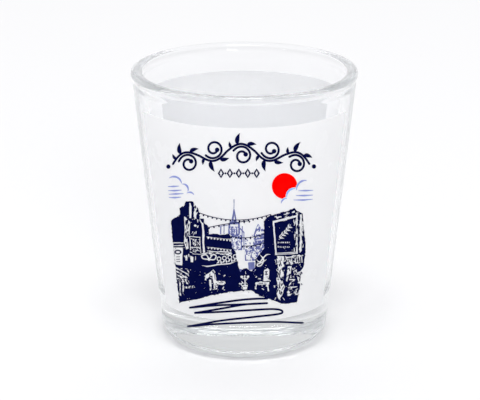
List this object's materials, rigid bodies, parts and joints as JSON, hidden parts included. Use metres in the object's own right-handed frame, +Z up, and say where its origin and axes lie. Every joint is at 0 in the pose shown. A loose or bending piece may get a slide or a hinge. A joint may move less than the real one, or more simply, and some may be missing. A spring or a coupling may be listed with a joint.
{
  "type": "shot glass",
  "caption": "Tapered clear shot glass with a thick foot, white panels front and back, and a printed street scene with a red sun.",
  "frame": {"origin": "centre of the ring that the glass stands on, at table height", "axes": "+Z up along the glass's axis; the printed front faces -Y, and +X is to the viewer's right"},
  "size_m": [0.0484, 0.0484, 0.06],
  "materials": {
    "clear_glass": "polished",
    "white_enamel": "gloss enamel",
    "red_ink": "gloss ink",
    "blue_ink": "gloss ink",
    "navy_ink": "gloss ink",
    "violet_ink": "gloss ink"
  },
  "bodies": {
    "root": {"glass_body": "clear_glass", "front_coat": "white_enamel", "back_coat": "white_enamel", "sun_print": "red_ink", "left_cloud_print": "blue_ink", "right_cloud_print": "blue_ink", "scroll_print": "navy_ink", "ornament_print": "navy_ink", "street_print": "navy_ink", "strings_print": "navy_ink", "far_street_print": "violet_ink", "scribble_print": "navy_ink"}
  },
  "joints": []
}
